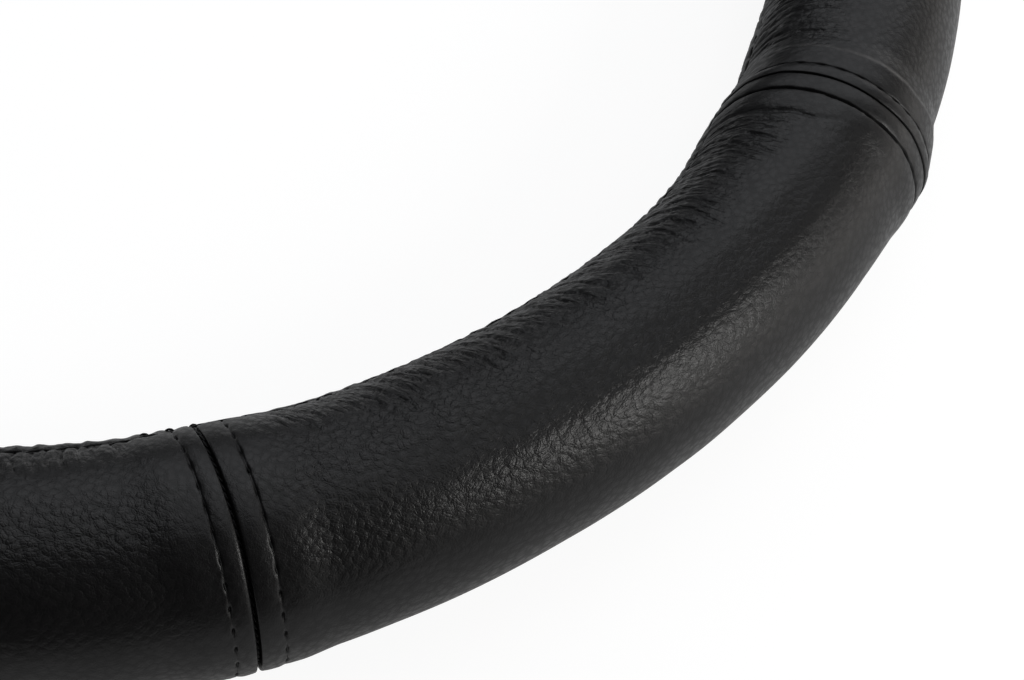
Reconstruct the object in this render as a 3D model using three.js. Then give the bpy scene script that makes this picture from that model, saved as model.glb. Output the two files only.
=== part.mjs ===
// Slip-on steering wheel cover, lying flat as before it is fitted. Eight leather panels are
// sewn end to end into a tube that stays open towards the hub, and the tube's two long edges
// are hemmed over the lips of a moulded rubber C-ring, which gives the cover its round shape.
// Millimetres, +Z up. The origin is the ring's centre, on the surface that the cover lies on.

import * as THREE from "three";

// The whole cover
const coverDiameter = 380; // over the leather, between the seams
const tubeDiameter = 36.6; // across the leather tube
const mouthWidth = 10; // between the two hems, where the wheel's rim goes in
const panelCount = 8;

// Walls
const leatherThickness = 1.4;
const rubberWall = 2.8;
const rubberLip = 1.4; // the rubber's wall where the hem is turned over it
const layerGap = 0.3; // between the leather and the rubber

// Hems
const hemTurnIn = 4; // leather turned inside the lip, up to its cut edge
const hemStitchInset = 2; // from where the leather starts to turn to the hem's stitches

// Seams between two panels
const seamGap = 0.3; // between the two folded edges
const edgeRounding = 1; // how far a folded edge falls away into the seam
const seamBandWidth = 20; // the two folded allowances under the leather
const seamBandRise = 0.7; // how much they lift it
const seamBandSlope = 1.2; // length of the slope where the lift ends
const topstitchInset = 3.5; // from the seam to each row of topstitching

// Sewing thread
const threadDiameter = 0.6;
const threadClearance = 0.1;

// Facets: the count round the tube is twice an odd number, so that one lies flat below
const facetsPerPanel = 6;
const facetsRoundTube = 18;

const tubeRadius = tubeDiameter / 2;
const ringRadius = coverDiameter / 2 - tubeRadius;
const facetCount = panelCount * facetsPerPanel;
const facetLength = 2 * ringRadius * Math.sin(Math.PI / facetCount);
const sectionStep = 360 / facetsRoundTube;

// Radii of the layers, from the tube's centre
const skinInside = tubeRadius - leatherThickness;
const rubberOutside = skinInside - layerGap;
const channelRadius = rubberOutside - rubberWall;
const lipInside = rubberOutside - rubberLip;
const turnInOutside = lipInside - layerGap;
const turnInInside = turnInOutside - leatherThickness;

// The hem turns round a centre in the middle of the rubber's lip
const hemSeat = (tubeRadius + turnInInside) / 2;
const hemRadius = (tubeRadius - turnInInside) / 2;
const lipRadius = rubberLip / 2;

// Angles round the tube's section, in degrees: 0 faces away from the hub and 90 faces up
const degrees = THREE.MathUtils.radToDeg;
const radians = THREE.MathUtils.degToRad;
const foldAngle = 180 - degrees(Math.asin((mouthWidth / 2 + hemRadius) / hemSeat));
const turnInAngle = foldAngle - degrees(hemTurnIn / turnInOutside);
const lipStepAngle = turnInAngle - degrees((1.5 * layerGap) / turnInOutside);
const hemStitchAngle = foldAngle - degrees(hemStitchInset / tubeRadius);
const rowEndAngle = hemStitchAngle - degrees((2 * threadDiameter) / tubeRadius);

// A thread lies in a groove with walls at 45 degrees, level with the leather round it
const threadRadius = threadDiameter / 2;
const threadSeat = (threadRadius + threadClearance) * Math.SQRT2;
const grooveDepth = threadSeat + threadRadius;

// The cover stands on the flat facets under its seam bands
const tubeHeight = (tubeRadius + seamBandRise) * Math.cos(radians(sectionStep / 2));

// A point of the section: `reach` from a seat that lies `seat` from the tube's centre.
function sectionPoint(angle, reach, seat = 0, turn = 0) {
  const side = Math.sign(angle);
  const heading = radians(angle + side * turn);
  return {
    out: ringRadius + seat * Math.cos(radians(angle)) + reach * Math.cos(heading),
    up: tubeHeight + seat * Math.sin(radians(angle)) + reach * Math.sin(heading),
  };
}

// A section point carried round the ring. Place counts facets from the first seam, which faces -Y.
function ringPoint({ out, up }, place) {
  const corner = Math.floor(place);
  const at = (index) => {
    const azimuth = (2 * Math.PI * index) / facetCount - Math.PI / 2;
    return new THREE.Vector3(out * Math.cos(azimuth), out * Math.sin(azimuth), up);
  };
  return at(corner).lerp(at(corner + 1), place - corner);
}

// Triangles between two rows of points that run the same way and may differ in count.
function zip(left, right, triangles) {
  const lastLeft = left.length - 1;
  const lastRight = right.length - 1;
  let i = 0;
  let j = 0;
  while (i < lastLeft || j < lastRight) {
    const leftIsNext = i < lastLeft && (i + 1) * lastRight <= (j + 1) * lastLeft;
    if (leftIsNext || j === lastRight) {
      triangles.push(left[i], left[i + 1], right[j]);
      i += 1;
    } else {
      triangles.push(left[i], right[j + 1], right[j]);
      j += 1;
    }
  }
}

// A closed solid whose rows of points go once round its section. The caps close its two ends.
function solidFromRows(rows, caps = []) {
  const triangles = [];
  rows.forEach((row, k) => zip(row, rows[(k + 1) % rows.length], triangles));
  for (const [a, b, c] of caps) {
    triangles.push(rows[a][0], rows[b][0], rows[c][0]);
    triangles.push(rows[c].at(-1), rows[b].at(-1), rows[a].at(-1));
  }
  const geometry = new THREE.BufferGeometry().setFromPoints(triangles);
  geometry.computeVertexNormals();
  return geometry;
}

// Angles of the tube's facets, from below to above, that stay `margin` short of a limit.
function facetAngles(limit) {
  const count = Math.ceil(limit / sectionStep) - 1;
  return Array.from({ length: 2 * count + 1 }, (_, k) => (k - count) * sectionStep);
}
const skinAngles = facetAngles(rowEndAngle - sectionStep / 2);

const leather = new THREE.MeshStandardMaterial({ color: 0x232325, roughness: 0.5 });
const rubber = new THREE.MeshStandardMaterial({ color: 0x1b1b1c, roughness: 0.85 });
const thread = new THREE.MeshStandardMaterial({ color: 0x0d0d0e, roughness: 0.6 });

const cover = new THREE.Group();
function add(name, geometry, material) {
  const mesh = new THREE.Mesh(geometry, material);
  mesh.name = name;
  cover.add(mesh);
}

// Leather panel. Its outside runs from hem to hem; `lift` is the share of the seam band's
// rise that a station takes, and `dip` the share of the grooves, both gone at the hem's edge.
function outsideStations() {
  const hem = (side) => [
    { angle: side * rowEndAngle, reach: tubeRadius, lift: 0, dip: 1 },
    { angle: side * foldAngle, reach: tubeRadius, lift: 0, dip: 1 },
    { angle: side * foldAngle, reach: hemRadius, seat: hemSeat, turn: 45, lift: 0, dip: 0 },
    { angle: side * foldAngle, reach: hemRadius, seat: hemSeat, turn: 90, lift: 0, dip: 0 },
  ];
  const skin = skinAngles.map((angle) => ({ angle, reach: tubeRadius, lift: 1, dip: 1 }));
  return [...hem(-1).reverse(), ...skin, ...hem(1)];
}

// The panel's hidden side: the rest of the turn, the turned-in strip and the skin's inside.
function insideSection() {
  const hem = (side) => [
    sectionPoint(side * foldAngle, hemRadius, hemSeat, 135),
    sectionPoint(side * foldAngle, turnInInside),
    sectionPoint(side * turnInAngle, turnInInside),
    sectionPoint(side * turnInAngle, turnInOutside),
    sectionPoint(side * foldAngle, turnInOutside),
    sectionPoint(side * foldAngle, hemRadius - leatherThickness, hemSeat, 90),
    sectionPoint(side * foldAngle, skinInside),
    sectionPoint(side * turnInAngle, skinInside),
  ];
  const skin = skinAngles.map((angle) => sectionPoint(angle, skinInside));
  return [...hem(1), ...skin.reverse(), ...hem(-1).reverse()];
}

// From the seam inwards: the folded edge, the topstitch groove and the end of the doubled leather.
const panelEdge = [
  { along: seamGap / 2, lift: 1, sink: edgeRounding },
  { along: seamGap / 2 + edgeRounding, lift: 1, sink: 0 },
  { along: topstitchInset - grooveDepth, lift: 1, sink: 0 },
  { along: topstitchInset, lift: 1, sink: grooveDepth },
  { along: topstitchInset + grooveDepth, lift: 1, sink: 0 },
  { along: seamBandWidth / 2 - seamBandSlope, lift: 1, sink: 0 },
  { along: seamBandWidth / 2, lift: 0, sink: 0 },
].map((edge) => ({ ...edge, place: edge.along / facetLength }));

function leatherPanel(panel) {
  const start = panel * facetsPerPanel;
  const whole = Array.from({ length: facetsPerPanel - 1 }, (_, k) => k + 1);
  const middle = whole.map((place) => ({ place, lift: 0, sink: 0 }));
  const farEdge = panelEdge.map((edge) => ({ ...edge, place: facetsPerPanel - edge.place }));
  const outsidePlaces = [...panelEdge, ...middle, ...farEdge.reverse()];
  const insidePlaces = [panelEdge[0].place, ...whole, facetsPerPanel - panelEdge[0].place];

  const outside = outsideStations().map((station) =>
    outsidePlaces.map(({ place, lift, sink }) => {
      const offset = lift * station.lift * seamBandRise - sink * station.dip;
      const { angle, reach, seat, turn } = station;
      return ringPoint(sectionPoint(angle, reach + offset, seat, turn), start + place);
    }),
  );
  const inside = insideSection().map((point) =>
    insidePlaces.map((place) => ringPoint(point, start + place)),
  );
  const rows = [...outside, ...inside];
  const endOutline = rows.map(([end]) => new THREE.Vector2(Math.hypot(end.x, end.y), end.z));
  return solidFromRows(rows, THREE.ShapeUtils.triangulateShape(endOutline, []));
}

// Rubber C-ring: one moulding, thinned at both lips where the hems turn over it.
function rubberCore() {
  const lip = (side) => [
    sectionPoint(side * turnInAngle, rubberOutside),
    sectionPoint(side * foldAngle, rubberOutside),
    sectionPoint(side * foldAngle, lipRadius, (rubberOutside + lipInside) / 2, 90),
    sectionPoint(side * foldAngle, lipInside),
    sectionPoint(side * lipStepAngle, lipInside),
    sectionPoint(side * lipStepAngle, channelRadius),
  ];
  const outside = skinAngles.map((angle) => sectionPoint(angle, rubberOutside));
  const channel = skinAngles.map((angle) => sectionPoint(angle, channelRadius));
  const section = [...outside, ...lip(1), ...channel.reverse(), ...lip(-1).reverse()];
  return solidFromRows(section.map(closedRow));
}

// The row that one section point makes all the way round the ring.
function closedRow(point) {
  return Array.from({ length: facetCount + 1 }, (_, k) => ringPoint(point, k % facetCount));
}

// The four corners of a thread's section, in the order that faces its walls outwards.
const threadCorners = [0, 1, 2, 3].map((quarter) => ({
  outwards: threadRadius * Math.cos((quarter * Math.PI) / 2),
  sideways: threadRadius * Math.sin((quarter * Math.PI) / 2),
}));

// A thread sewn round the tube, `along` from a seam and `depth` under the seam band.
function threadRoundTube(seam, along, depth) {
  const start = ((seam + panelCount) % panelCount) * facetsPerPanel;
  const angles = [-rowEndAngle, ...skinAngles, rowEndAngle];
  const rows = threadCorners.map(({ outwards, sideways }) =>
    angles.map((angle) => {
      const rise = Math.abs(angle) < rowEndAngle ? seamBandRise : 0;
      const point = sectionPoint(angle, tubeRadius + rise - depth + outwards);
      return ringPoint(point, start + (along - sideways) / facetLength);
    }),
  );
  return solidFromRows(rows, [
    [0, 1, 2],
    [0, 2, 3],
  ]);
}

// A thread sewn along a hem, all the way round the ring, on the leather's surface.
function hemThread(side) {
  const reach = tubeRadius + threadRadius + threadClearance;
  const centre = sectionPoint(side * hemStitchAngle, reach);
  const section = threadCorners.map(({ outwards, sideways }) => ({
    out: centre.out + outwards,
    up: centre.up + sideways,
  }));
  return solidFromRows(section.map(closedRow));
}

add("rubber_core", rubberCore(), rubber);
for (let index = 0; index < panelCount; index += 1) {
  const number = index + 1;
  add(`leather_panel_${number}`, leatherPanel(index), leather);
  const seamDepth = edgeRounding + seamGap / 2 - threadSeat;
  add(`joining_thread_${number}`, threadRoundTube(index, 0, seamDepth), thread);
  add(`topstitch_${number}_left`, threadRoundTube(index, -topstitchInset, threadRadius), thread);
  add(`topstitch_${number}_right`, threadRoundTube(index, topstitchInset, threadRadius), thread);
}
add("hem_thread_upper", hemThread(1), thread);
add("hem_thread_lower", hemThread(-1), thread);

export default cover;
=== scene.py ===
import math

import bmesh
import bpy
import numpy as np
from mathutils import Matrix, Vector


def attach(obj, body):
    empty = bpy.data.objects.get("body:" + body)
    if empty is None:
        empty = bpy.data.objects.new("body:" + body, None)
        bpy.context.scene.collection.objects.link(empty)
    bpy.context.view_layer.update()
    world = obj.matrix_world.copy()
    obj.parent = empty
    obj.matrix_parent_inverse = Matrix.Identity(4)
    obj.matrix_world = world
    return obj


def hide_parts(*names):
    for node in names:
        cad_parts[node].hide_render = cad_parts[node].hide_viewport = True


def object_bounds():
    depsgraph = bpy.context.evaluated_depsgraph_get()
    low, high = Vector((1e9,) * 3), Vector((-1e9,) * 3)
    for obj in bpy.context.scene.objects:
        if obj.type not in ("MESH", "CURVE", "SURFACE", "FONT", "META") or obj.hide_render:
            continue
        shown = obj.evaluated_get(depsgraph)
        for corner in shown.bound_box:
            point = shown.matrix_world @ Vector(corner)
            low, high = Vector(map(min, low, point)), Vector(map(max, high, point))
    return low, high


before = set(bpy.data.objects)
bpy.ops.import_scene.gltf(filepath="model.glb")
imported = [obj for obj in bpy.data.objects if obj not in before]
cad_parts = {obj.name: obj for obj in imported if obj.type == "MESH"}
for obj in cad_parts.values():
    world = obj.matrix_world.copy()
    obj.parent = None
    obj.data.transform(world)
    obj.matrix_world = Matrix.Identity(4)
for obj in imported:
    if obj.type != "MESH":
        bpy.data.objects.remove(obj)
solids_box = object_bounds()

# Rubber core. The real one is a ring of black rubber moulded in a C section, with fine ribs
# round its channel that grip the wheel's rim. It keeps the cover round, and the leather is
# stretched over it and turned in over its two lips.

COVER_RADIUS = 0.19
TUBE_RADIUS = 0.0183
RING_RADIUS = COVER_RADIUS - TUBE_RADIUS
CENTRE_HEIGHT = round(solids_box[1][2] / 2, 6)
LEATHER_WALL = 0.0014
LAYER_GAP = 0.0003
RUBBER_WALL = 0.0028
RUBBER_LIP = 0.0014
RUBBER_OUTSIDE = TUBE_RADIUS - LEATHER_WALL - LAYER_GAP
RUBBER_INSIDE = RUBBER_OUTSIDE - RUBBER_WALL
LIP_INSIDE = RUBBER_OUTSIDE - RUBBER_LIP
FOLD_ANGLE = math.radians(152.3)
LIP_STEP_ANGLE = math.radians(135.2)
RIB_HEIGHT = 0.00035
RIB_COUNT = 19
CORE_STATIONS = 288
RUBBER_BLACK = (0.009, 0.009, 0.0095, 1)
RUBBER_DUSTY = (0.02, 0.02, 0.021, 1)


def add_node(tree, kind, inputs=None, **settings):
    made = tree.nodes.new(kind)
    for key, value in settings.items():
        setattr(made, key, value)
    for key, value in (inputs or {}).items():
        if isinstance(value, bpy.types.NodeSocket):
            tree.links.new(value, made.inputs[key])
        else:
            made.inputs[key].default_value = value
    return made


def reckon(tree, operation, *values, kind="ShaderNodeMath"):
    """The result of one sum, of numbers or with ShaderNodeVectorMath of vectors."""
    return add_node(tree, kind, dict(enumerate(values)), operation=operation).outputs[0]


def store(tree, geometry, name, value, kind="FLOAT"):
    """Keeps a value under a name on each point of the geometry."""
    inputs = {"Geometry": geometry, "Name": name, "Value": value}
    return add_node(tree, "GeometryNodeStoreNamedAttribute", inputs, data_type=kind).outputs[0]


def recall(tree, name, kind="FLOAT"):
    stored = add_node(tree, "GeometryNodeInputNamedAttribute", {"Name": name}, data_type=kind)
    return stored.outputs[0]


def open_tree(name, sizes):
    """An empty geometry tree with named inputs, and where they are read and the result goes."""
    tree = bpy.data.node_groups.new(name, "GeometryNodeTree")
    tree.interface.new_socket("Geometry", in_out="INPUT", socket_type="NodeSocketGeometry")
    for label, kind in sizes.items():
        tree.interface.new_socket(label, in_out="INPUT", socket_type=f"NodeSocket{kind}")
    tree.interface.new_socket("Geometry", in_out="OUTPUT", socket_type="NodeSocketGeometry")
    return tree, tree.nodes.new("NodeGroupInput").outputs, tree.nodes.new("NodeGroupOutput").inputs


def close_tree(tree, geometry, finish, result):
    """Ends a tree: what it holds is made one real mesh and gets its material."""
    whole = add_node(tree, "GeometryNodeRealizeInstances", {"Geometry": geometry}).outputs[0]
    inputs = {"Geometry": whole, "Material": finish}
    finished = add_node(tree, "GeometryNodeSetMaterial", inputs)
    tree.links.new(finished.outputs[0], result["Geometry"])


def run_tree(name, host, tree, values):
    """Runs a tree on a host object with these values, and keeps the result as a plain mesh."""
    modifier = host.modifiers.new(tree.name, "NODES")
    modifier.node_group = tree
    for item in tree.interface.items_tree:
        if item.in_out == "INPUT" and item.name in values:
            modifier[item.identifier] = values[item.name]
    host.update_tag()
    evaluated = host.evaluated_get(bpy.context.evaluated_depsgraph_get())
    mesh = bpy.data.meshes.new_from_object(evaluated)
    host.modifiers.remove(modifier)
    bpy.data.objects.remove(host)
    made = bpy.data.objects.new(name, mesh)
    bpy.context.scene.collection.objects.link(made)
    return made


def put_on_points(mesh, name, values):
    """Stores a number or a vector on each point of a mesh."""
    kind, key = ("FLOAT", "value") if values.ndim == 1 else ("FLOAT_VECTOR", "vector")
    stored = mesh.attributes.new(name, kind, "POINT")
    stored.data.foreach_set(key, values.astype(np.float32).ravel())


def wire(name, rows, outward=None):
    """A host of open or closed rows of points, joined by edges. Each row is (points, closed)."""
    points, edges = [], []
    for row, closed in rows:
        first = len(points)
        points.extend(row)
        edges.extend((first + i, first + i + 1) for i in range(len(row) - 1))
        if closed:
            edges.append((len(points) - 1, first))
    mesh = bpy.data.meshes.new(name)
    mesh.from_pydata([tuple(p) for p in points], edges, [])
    if outward is not None:
        put_on_points(mesh, "outward", outward)
    made = bpy.data.objects.new(name, mesh)
    bpy.context.scene.collection.objects.link(made)
    return made


def ring_sweep_tree():
    """Carries the host's closed section round the ring: its x is outwards and its y is up."""
    tree, sizes, result = open_tree(
        "section carried round the ring",
        {
            "Ring Radius": "Float",
            "Centre Height": "Float",
            "First Angle": "Float",
            "Arc": "Float",
            "Stations": "Int",
            "Closed": "Bool",
            "Finish": "Material",
        },
    )
    index = add_node(tree, "GeometryNodeInputIndex").outputs[0]
    place = add_node(tree, "GeometryNodeInputPosition").outputs[0]
    section = store(tree, sizes["Geometry"], "section_place", place, "FLOAT_VECTOR")
    section = store(tree, section, "section_index", index, "INT")
    section = add_node(tree, "GeometryNodeMeshToCurve", {"Mesh": section}).outputs[0]
    round_ring = {"Resolution": sizes["Stations"], "Radius": sizes["Ring Radius"]}
    circle = add_node(tree, "GeometryNodeCurvePrimitiveCircle", round_ring).outputs[0]
    arc = add_node(tree, "GeometryNodeCurveArc", {**round_ring, "Sweep Angle": sizes["Arc"]})
    path = add_node(
        tree,
        "GeometryNodeSwitch",
        {"Switch": sizes["Closed"], "False": arc.outputs[0], "True": circle},
        input_type="GEOMETRY",
    ).outputs[0]
    share = add_node(tree, "GeometryNodeSplineParameter").outputs["Factor"]
    path = store(tree, path, "ring_share", share)
    path = store(tree, path, "station_index", index, "INT")
    swept = add_node(
        tree,
        "GeometryNodeCurveToMesh",
        {"Curve": path, "Profile Curve": section, "Fill Caps": True},
    )
    ring_share = recall(tree, "ring_share")
    azimuth = reckon(tree, "MULTIPLY_ADD", ring_share, sizes["Arc"], sizes["First Angle"])
    section_place = recall(tree, "section_place", "FLOAT_VECTOR")
    split = add_node(tree, "ShaderNodeSeparateXYZ", {0: section_place}).outputs
    reach = reckon(tree, "ADD", split["X"], sizes["Ring Radius"])
    there = {2: reckon(tree, "ADD", split["Y"], sizes["Centre Height"])}
    for axis, turn in enumerate(("COSINE", "SINE")):
        there[axis] = reckon(tree, "MULTIPLY", reach, reckon(tree, turn, azimuth))
    there = add_node(tree, "ShaderNodeCombineXYZ", there).outputs[0]
    moved = add_node(
        tree, "GeometryNodeSetPosition", {"Geometry": swept.outputs[0], "Position": there}
    )
    close_tree(tree, moved.outputs[0], sizes["Finish"], result)
    return tree


def mesh_points(mesh):
    points = np.zeros(len(mesh.vertices) * 3)
    mesh.vertices.foreach_get("co", points)
    return points.reshape(-1, 3)


def face_outwards(mesh):
    """Turns every face round if the closed mesh encloses a negative volume."""
    mesh.calc_loop_triangles()
    triangles = np.zeros(len(mesh.loop_triangles) * 3, int)
    mesh.loop_triangles.foreach_get("vertices", triangles)
    a, b, c = mesh_points(mesh)[triangles.reshape(-1, 3)].transpose(1, 0, 2)
    if (a * np.cross(b, c)).sum() < 0:
        mesh.flip_normals()
    mesh.update()


def polar(radius, angle):
    return radius * math.cos(angle), radius * math.sin(angle)


def twist(azimuth):
    """How far the tube is turned about its own centre line, which carries its mouth up or down.

    Both lists are in degrees. The part from -99 to -34 is seen, and the rest is a gentle wander.
    """
    at = [-180, -135, -99, -94, -90, -86, -82, -77, -70, -60, -54, -45, -34, -20, 0, 45, 90]
    turn = [-2, -6, -8, -7, -4, 1, 3, 6, 9, 11, 13, 20, 26, 27, 16, 0, -6]
    at, turn = np.radians([*at, 135, 180]), np.radians([*turn, 1, -2])
    knots = np.concatenate([at[:-1] - 2 * np.pi, at, at[1:] + 2 * np.pi])
    turns = np.concatenate([turn[:-1], turn, turn[1:]])
    spread = np.radians(np.linspace(-4, 4, 7))
    place = (np.asarray(azimuth)[..., None] + np.pi) % (2 * np.pi) - np.pi
    return np.interp(place + spread, knots, turns).mean(-1)


def turn_tube(points):
    """Twists the tube's points about its centre line, and rests them on the ground."""
    azimuth = np.arctan2(points[:, 1], points[:, 0])
    out = np.hypot(points[:, 0], points[:, 1]) - RING_RADIUS
    up = points[:, 2] - CENTRE_HEIGHT
    c, s = np.cos(twist(azimuth)), np.sin(twist(azimuth))
    reach = RING_RADIUS + out * c - up * s
    height = np.maximum(CENTRE_HEIGHT + out * s + up * c, 0)
    return np.stack([reach * np.cos(azimuth), reach * np.sin(azimuth), height], -1)


def core_section():
    """The C section: its outside, a rounded lip, the ribbed channel and the other lip."""
    spans = [polar(RUBBER_OUTSIDE, a) for a in np.linspace(-FOLD_ANGLE, FOLD_ANGLE, 61)]
    lip = (RUBBER_OUTSIDE + LIP_INSIDE) / 2
    rounding = (RUBBER_OUTSIDE - LIP_INSIDE) / 2
    for side, turns in ((1, (45, 90, 135)), (-1, (-135, -90, -45))):
        seat = polar(lip, side * FOLD_ANGLE)
        heading = [side * FOLD_ANGLE + math.radians(t) for t in turns]
        tip = [(seat[0] + x, seat[1] + y) for x, y in (polar(rounding, a) for a in heading)]
        inner_lip = [polar(LIP_INSIDE, side * a) for a in (FOLD_ANGLE, LIP_STEP_ANGLE)]
        if side > 0:
            spans += tip + inner_lip
            for a in np.linspace(LIP_STEP_ANGLE, -LIP_STEP_ANGLE, RIB_COUNT * 6 + 1):
                share = abs(math.cos(a / LIP_STEP_ANGLE * math.pi * RIB_COUNT / 2))
                spans.append(polar(RUBBER_INSIDE - RIB_HEIGHT * (1 - share) ** 2, a))
        else:
            spans += inner_lip[::-1] + tip
    return spans


def new_finish(name):
    """A new material, its nodes and its shader."""
    finish = bpy.data.materials.new(name)
    finish.use_nodes = True
    return finish, finish.node_tree, finish.node_tree.nodes["Principled BSDF"]


def noise(tree, place, scale, detail):
    inputs = {"Vector": place, "Scale": scale, "Detail": detail}
    return add_node(tree, "ShaderNodeTexNoise", inputs).outputs


def carry_range(tree, value, low, high, first, last, curve="LINEAR"):
    """Carries a value from the range low to high over to the range first to last."""
    inputs = dict(enumerate((value, low, high, first, last)))
    return add_node(tree, "ShaderNodeMapRange", inputs, interpolation_type=curve).outputs[0]


def mix_colours(tree, share, first, last, blend="MIX"):
    inputs = {"Factor": share, 6: first, 7: last}
    mixed = add_node(tree, "ShaderNodeMix", inputs, data_type="RGBA", blend_type=blend)
    return mixed.outputs[2]


def rubber_finish():
    finish, tree, shader = new_finish("black moulded rubber")
    place = add_node(tree, "ShaderNodeTexCoord").outputs["Object"]
    dust = noise(tree, place, 90.0, 5.0)[0]
    pits = noise(tree, place, 2600.0, 2.0)[0]
    colour = mix_colours(tree, dust, RUBBER_BLACK, RUBBER_DUSTY)
    gloss = carry_range(tree, dust, 0.3, 0.7, 0.62, 0.82)
    bump = add_node(tree, "ShaderNodeBump", {"Strength": 0.5, "Distance": 0.00006, "Height": pits})
    tree.links.new(colour, shader.inputs["Base Color"])
    tree.links.new(gloss, shader.inputs["Roughness"])
    tree.links.new(bump.outputs[0], shader.inputs["Normal"])
    return finish


ring_sweep = ring_sweep_tree()
section = [(x, y, 0) for x, y in core_section()]
core = run_tree(
    "rubber_core_ribbed",
    wire("core section", [(section, True)]),
    ring_sweep,
    {
        "Ring Radius": RING_RADIUS,
        "Centre Height": CENTRE_HEIGHT,
        "First Angle": 0.0,
        "Arc": 2 * math.pi,
        "Stations": CORE_STATIONS,
        "Closed": True,
        "Finish": rubber_finish(),
    },
)
core.data.vertices.foreach_set("co", turn_tube(mesh_points(core.data)).ravel())
face_outwards(core.data)
core.data.shade_smooth()
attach(core, "root")
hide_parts("rubber_core")

# Leather panels. Each is a strip of black pebble-grained leather, sewn to the next one inside
# out and then turned, so both edges are folded under and make a raised band. It is pulled over
# the core while it is curved, so the hub side has more leather than it needs and puckers.

PANELS = 8
PANEL_ARC = 2 * math.pi / PANELS
FIRST_SEAM_AT = -90
SECOND_SEAM_AT = FIRST_SEAM_AT + 360 / PANELS
SEAM_GAP = 0.0004
HEM_SEAT = 0.0159
HEM_ROUNDING = 0.0024
TURN_IN_INSIDE = 0.0135
TURN_IN_ANGLE = math.radians(136.9)
HEM_STITCH_ANGLE = 146.0
STATIONS = 448
EDGE_STATIONS = 45
# Painted light on the grain: its creases are painted darker as painted shade, and its domes lighter
# as a painted highlight.
LEATHER_CREASE_PAINTED_SHADE = (0.0026, 0.0026, 0.0028, 1)
LEATHER_DOME_PAINTED_HIGHLIGHT = (0.0074, 0.0072, 0.0075, 1)
# The next colour is a painted highlight, the pale line along the second panel's band.
LEATHER_PAINTED_BAND_HIGHLIGHT = (0.085, 0.082, 0.08, 1)
LEATHER_DARKER = (0.8, 0.8, 0.82, 1)
LEATHER_LIGHTER = (1.2, 1.18, 1.16, 1)

# Lengths on the leather are in millimetres, and the grain's scales are cells to a millimetre.

TUBE_MM = TUBE_RADIUS * 1000
PANEL_LENGTH = 134.8
BAND_WIDTH = 9.4
BAND_RISE = 0.45
TOPSTITCH_INSET = {
    "start": (3.75, 2.7, 3.4, 3.6, 3.3, 3.5, 3.4, 3.6),
    "end": (4.1, 3.5, 3.3, 3.6, 3.4, 3.5, 3.6, 3.05),
}
STITCH_PITCH = 3.6
HEM_PITCH = 4.0
SKIN_STEP = 0.52
FRONT_STEP = SKIN_STEP * 1.35
FOLD_DEPTH = 0.42
FINE_FOLD_DEPTH = 0.16
GRAIN_SCALE = 0.74
FINE_GRAIN_SCALE = 1.9


def wander(u, v, seed):
    """Smooth noise from -1 to 1 over a plane, one hill or hollow to a unit."""
    lattice = np.random.default_rng(seed).uniform(-1, 1, (97, 97))
    i, j = np.floor(u).astype(int), np.floor(v).astype(int)
    a, b = u - i, v - j
    a, b = a * a * (3 - 2 * a), b * b * (3 - 2 * b)
    low = lattice[i % 97, j % 97] * (1 - a) + lattice[(i + 1) % 97, j % 97] * a
    high = lattice[i % 97, (j + 1) % 97] * (1 - a) + lattice[(i + 1) % 97, (j + 1) % 97] * a
    return low * (1 - b) + high * b


def waver(place, seed):
    """The same smooth noise along a line."""
    return wander(place, 0 * place, seed)


def ramp(value, start, end):
    """From 0 at the start to 1 at the end, eased at both."""
    t = np.clip((value - start) / (end - start), 0, 1)
    return t * t * (3 - 2 * t)


def hill(value, middle, width):
    return np.exp(-(((value - middle) / width) ** 2))


def band_rise(number, side, edge, around, seed):
    """The folded hem under the leather, which ends in a soft and slightly ragged step."""
    ragged = BAND_WIDTH + 0.6 * waver(around / 9, seed)
    ragged = ragged + 0.25 * waver(around / 2.5, seed + 1)
    if (number, side) == (2, "start"):
        step = ragged - 1.3
        broad = 0.5 * (1 - ramp(edge, step, step + 5))
        return broad + 0.16 * (1 - ramp(edge, step - 0.4, step + 0.4))
    return BAND_RISE * (1 - ramp(edge, ragged - 3.2, ragged + 3.2))


def stitch_furrow(number, side, edge, inset, around, angle, seed):
    """The furrow that the topstitching pulls into the leather, with its needle holes."""
    furrow = -0.2 * hill(edge, inset, 0.14) - 0.07 * hill(edge, inset, 0.7)
    if (number, side) == (1, "end"):
        pull = 0.2 + 0.14 * waver(around / 1.3, seed + 6)
        furrow = furrow * 1.3 - pull * hill(edge, inset, 0.27)
    beat = np.cos(2 * np.pi * around / STITCH_PITCH)
    hole = -0.6 * hill(edge, inset, 0.22) * np.clip(beat, 0, 1) ** 5
    if (number, side) in ((PANELS, "end"), (1, "start")):
        hub_side = ramp(np.abs(angle), 66, 92)
        furrow = furrow * (0.25 + 0.75 * hub_side)
        hole = hole * (1.25 - 0.25 * hub_side)
    pucker = 0.035 * beat * hill(np.abs(edge - inset), 0.9, 0.4)
    return furrow + hole + pucker


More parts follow.
